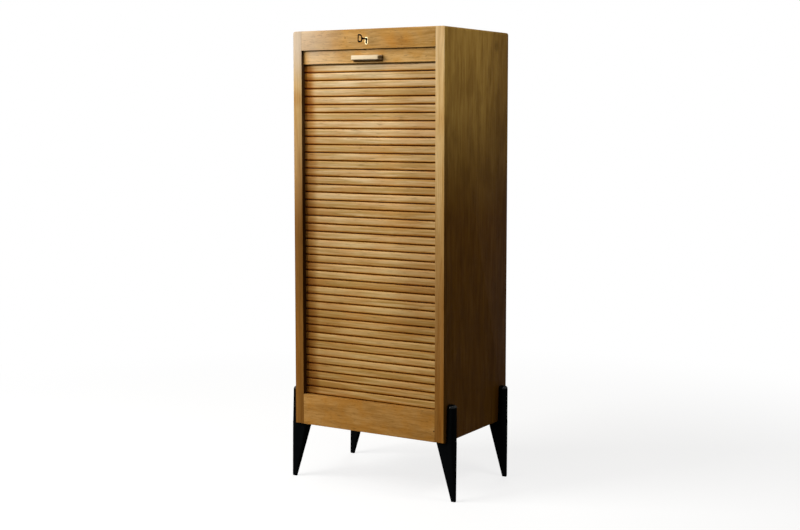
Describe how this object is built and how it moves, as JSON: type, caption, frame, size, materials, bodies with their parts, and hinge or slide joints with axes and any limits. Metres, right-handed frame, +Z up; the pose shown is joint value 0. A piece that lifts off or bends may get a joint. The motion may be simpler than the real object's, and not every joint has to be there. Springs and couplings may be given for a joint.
{
  "type": "tambour door cabinet",
  "caption": "Tall oak cabinet with a sliding slatted curtain front, pull bar, lock with key, inner shelves and four splayed black tapered legs.",
  "frame": {"origin": "on the floor, at the middle of the whole object's box, the key in the lock included", "axes": "+X to the cabinet's right as seen from the front, +Y to the back, +Z up"},
  "size_m": [0.553, 0.419, 1.305],
  "materials": {
    "oak_frame": "satin varnished oak",
    "oak_side": "satin varnished oak veneer",
    "oak_slat": "satin varnished oak on canvas",
    "handle_wood": "satin varnished pale wood",
    "inside_wood": "plain wood",
    "black_lacquer": "gloss black lacquer",
    "brass": "polished, slightly aged",
    "key_metal": "dark aged metal",
    "lock_steel": "plain steel"
  },
  "bodies": {
    "root": {"side_panel_left": "oak_side", "side_panel_right": "oak_side", "front_stile_left": "oak_frame", "front_stile_right": "oak_frame", "curtain_guide_left": "inside_wood", "curtain_guide_right": "inside_wood", "top_rail": "oak_frame", "bottom_rail": "oak_frame", "top_panel": "oak_side", "bottom_board": "inside_wood", "back_panel": "inside_wood", "false_back": "inside_wood", "inner_floor": "inside_wood", "shelf_1": "inside_wood", "shelf_2": "inside_wood", "shelf_3": "inside_wood", "shelf_4": "inside_wood", "lock_case": "lock_steel", "lock_cover": "lock_steel", "lock_screw_1": "brass", "lock_screw_2": "brass", "keyhole_liner": "brass", "leg_front_left": "black_lacquer", "leg_screw_front_left": "lock_steel", "leg_front_right": "black_lacquer", "leg_screw_front_right": "lock_steel", "leg_rear_left": "black_lacquer", "leg_screw_rear_left": "lock_steel", "leg_rear_right": "black_lacquer", "leg_screw_rear_right": "lock_steel"},
    "shutter": {"lead_rail": "oak_frame", "pull_handle": "handle_wood", "handle_screw_1": "lock_steel", "handle_screw_2": "lock_steel", "link_plate": "brass"},
    "slats_01": {"slat_pair_01": "oak_slat"},
    "slats_02": {"slat_pair_02": "oak_slat"},
    "slats_03": {"slat_pair_03": "oak_slat"},
    "slats_04": {"slat_pair_04": "oak_slat"},
    "slats_05": {"slat_pair_05": "oak_slat"},
    "slats_06": {"slat_pair_06": "oak_slat"},
    "slats_07": {"slat_pair_07": "oak_slat"},
    "slats_08": {"slat_pair_08": "oak_slat"},
    "slats_09": {"slat_pair_09": "oak_slat"},
    "slats_10": {"slat_pair_10": "oak_slat"},
    "slats_11": {"slat_pair_11": "oak_slat"},
    "slats_12": {"slat_pair_12": "oak_slat"},
    "slats_13": {"slat_pair_13": "oak_slat"},
    "slats_14": {"slat_pair_14": "oak_slat"},
    "slats_15": {"slat_pair_15": "oak_slat"},
    "slats_16": {"slat_pair_16": "oak_slat"},
    "slats_17": {"slat_pair_17": "oak_slat"},
    "slats_18": {"slat_pair_18": "oak_slat"},
    "slats_19": {"slat_pair_19": "oak_slat"},
    "slats_20": {"slat_pair_20": "oak_slat"},
    "slats_21": {"slat_pair_21": "oak_slat"},
    "slats_22": {"slat_pair_22": "oak_slat"},
    "key": {"key": "key_metal"},
    "lock_bolt": {"lock_bolt": "lock_steel"}
  },
  "joints": [
    {"name": "shutter_slide", "type": "slide", "parent": "root", "child": "shutter", "axis": [0, 0, -1], "range_m": [0, 0.9554], "deforming": ["slat_pair_01", "slat_pair_02", "slat_pair_03", "slat_pair_04", "slat_pair_05", "slat_pair_06", "slat_pair_07", "slat_pair_08", "slat_pair_09", "slat_pair_10", "slat_pair_11", "slat_pair_12", "slat_pair_13", "slat_pair_14", "slat_pair_15", "slat_pair_16", "slat_pair_17", "slat_pair_18", "slat_pair_19", "slat_pair_20", "slat_pair_21", "slat_pair_22"]},
    {"name": "slats_01_slide", "type": "slide", "parent": "root", "child": "slats_01", "axis": [0, 0, -1], "range_m": [0, 0.9322]},
    {"name": "slats_02_slide", "type": "slide", "parent": "root", "child": "slats_02", "axis": [0, 0, -1], "range_m": [0, 0.889]},
    {"name": "slats_03_slide", "type": "slide", "parent": "root", "child": "slats_03", "axis": [0, 0, -1], "range_m": [0, 0.84579]},
    {"name": "slats_04_slide", "type": "slide", "parent": "root", "child": "slats_04", "axis": [0, 0, -1], "range_m": [0, 0.80258]},
    {"name": "slats_05_slide", "type": "slide", "parent": "root", "child": "slats_05", "axis": [0, 0, -1], "range_m": [0, 0.75938]},
    {"name": "slats_06_slide", "type": "slide", "parent": "root", "child": "slats_06", "axis": [0, 0, -1], "range_m": [0, 0.71617]},
    {"name": "slats_07_slide", "type": "slide", "parent": "root", "child": "slats_07", "axis": [0, 0, -1], "range_m": [0, 0.67297]},
    {"name": "slats_08_slide", "type": "slide", "parent": "root", "child": "slats_08", "axis": [0, 0, -1], "range_m": [0, 0.62975]},
    {"name": "slats_09_slide", "type": "slide", "parent": "root", "child": "slats_09", "axis": [0, 0, -1], "range_m": [0, 0.58655]},
    {"name": "slats_10_slide", "type": "slide", "parent": "root", "child": "slats_10", "axis": [0, 0, -1], "range_m": [0, 0.54335]},
    {"name": "slats_11_slide", "type": "slide", "parent": "root", "child": "slats_11", "axis": [0, 0, -1], "range_m": [0, 0.50013]},
    {"name": "slats_12_slide", "type": "slide", "parent": "root", "child": "slats_12", "axis": [0, 0, -1], "range_m": [0, 0.45693]},
    {"name": "slats_13_slide", "type": "slide", "parent": "root", "child": "slats_13", "axis": [0, 0, -1], "range_m": [0, 0.41373]},
    {"name": "slats_14_slide", "type": "slide", "parent": "root", "child": "slats_14", "axis": [0, 0, -1], "range_m": [0, 0.37051]},
    {"name": "slats_15_slide", "type": "slide", "parent": "root", "child": "slats_15", "axis": [0, 0, -1], "range_m": [0, 0.32731]},
    {"name": "slats_16_slide", "type": "slide", "parent": "root", "child": "slats_16", "axis": [0, 0, -1], "range_m": [0, 0.2841]},
    {"name": "slats_17_slide", "type": "slide", "parent": "root", "child": "slats_17", "axis": [0, 0, -1], "range_m": [0, 0.24089]},
    {"name": "slats_18_slide", "type": "slide", "parent": "root", "child": "slats_18", "axis": [0, 0, -1], "range_m": [0, 0.19769]},
    {"name": "slats_19_slide", "type": "slide", "parent": "root", "child": "slats_19", "axis": [0, 0, -1], "range_m": [0, 0.15448]},
    {"name": "slats_20_slide", "type": "slide", "parent": "root", "child": "slats_20", "axis": [0, 0, -1], "range_m": [0, 0.11128]},
    {"name": "slats_21_slide", "type": "slide", "parent": "root", "child": "slats_21", "axis": [0, 0, -1], "range_m": [0, 0.06806]},
    {"name": "slats_22_slide", "type": "slide", "parent": "root", "child": "slats_22", "axis": [0, 0, -1], "range_m": [0, 0.02486]},
    {"name": "key_turn", "type": "hinge", "parent": "root", "child": "key", "pos_m": [0, -0.1655, 1.277], "axis": [0, 1, 0], "range_deg": [0, 180]},
    {"name": "bolt_slide", "type": "slide", "parent": "root", "child": "lock_bolt", "axis": [-1, 0, 0], "range_m": [0, 0.01]}
  ],
  "couplings": [
    {"joint": "slats_01_slide", "follows": "shutter_slide", "ratio": 0.97572},
    {"joint": "slats_02_slide", "follows": "shutter_slide", "ratio": 0.9305},
    {"joint": "slats_03_slide", "follows": "shutter_slide", "ratio": 0.88527},
    {"joint": "slats_04_slide", "follows": "shutter_slide", "ratio": 0.84005},
    {"joint": "slats_05_slide", "follows": "shutter_slide", "ratio": 0.79483},
    {"joint": "slats_06_slide", "follows": "shutter_slide", "ratio": 0.7496},
    {"joint": "slats_07_slide", "follows": "shutter_slide", "ratio": 0.70438},
    {"joint": "slats_08_slide", "follows": "shutter_slide", "ratio": 0.65915},
    {"joint": "slats_09_slide", "follows": "shutter_slide", "ratio": 0.61393},
    {"joint": "slats_10_slide", "follows": "shutter_slide", "ratio": 0.56871},
    {"joint": "slats_11_slide", "follows": "shutter_slide", "ratio": 0.52348},
    {"joint": "slats_12_slide", "follows": "shutter_slide", "ratio": 0.47826},
    {"joint": "slats_13_slide", "follows": "shutter_slide", "ratio": 0.43304},
    {"joint": "slats_14_slide", "follows": "shutter_slide", "ratio": 0.38781},
    {"joint": "slats_15_slide", "follows": "shutter_slide", "ratio": 0.34259},
    {"joint": "slats_16_slide", "follows": "shutter_slide", "ratio": 0.29736},
    {"joint": "slats_17_slide", "follows": "shutter_slide", "ratio": 0.25214},
    {"joint": "slats_18_slide", "follows": "shutter_slide", "ratio": 0.20692},
    {"joint": "slats_19_slide", "follows": "shutter_slide", "ratio": 0.16169},
    {"joint": "slats_20_slide", "follows": "shutter_slide", "ratio": 0.11647},
    {"joint": "slats_21_slide", "follows": "shutter_slide", "ratio": 0.07124},
    {"joint": "slats_22_slide", "follows": "shutter_slide", "ratio": 0.02602},
    {"joint": "bolt_slide", "follows": "key_turn", "m_per_rad": 0.00318}
  ]
}
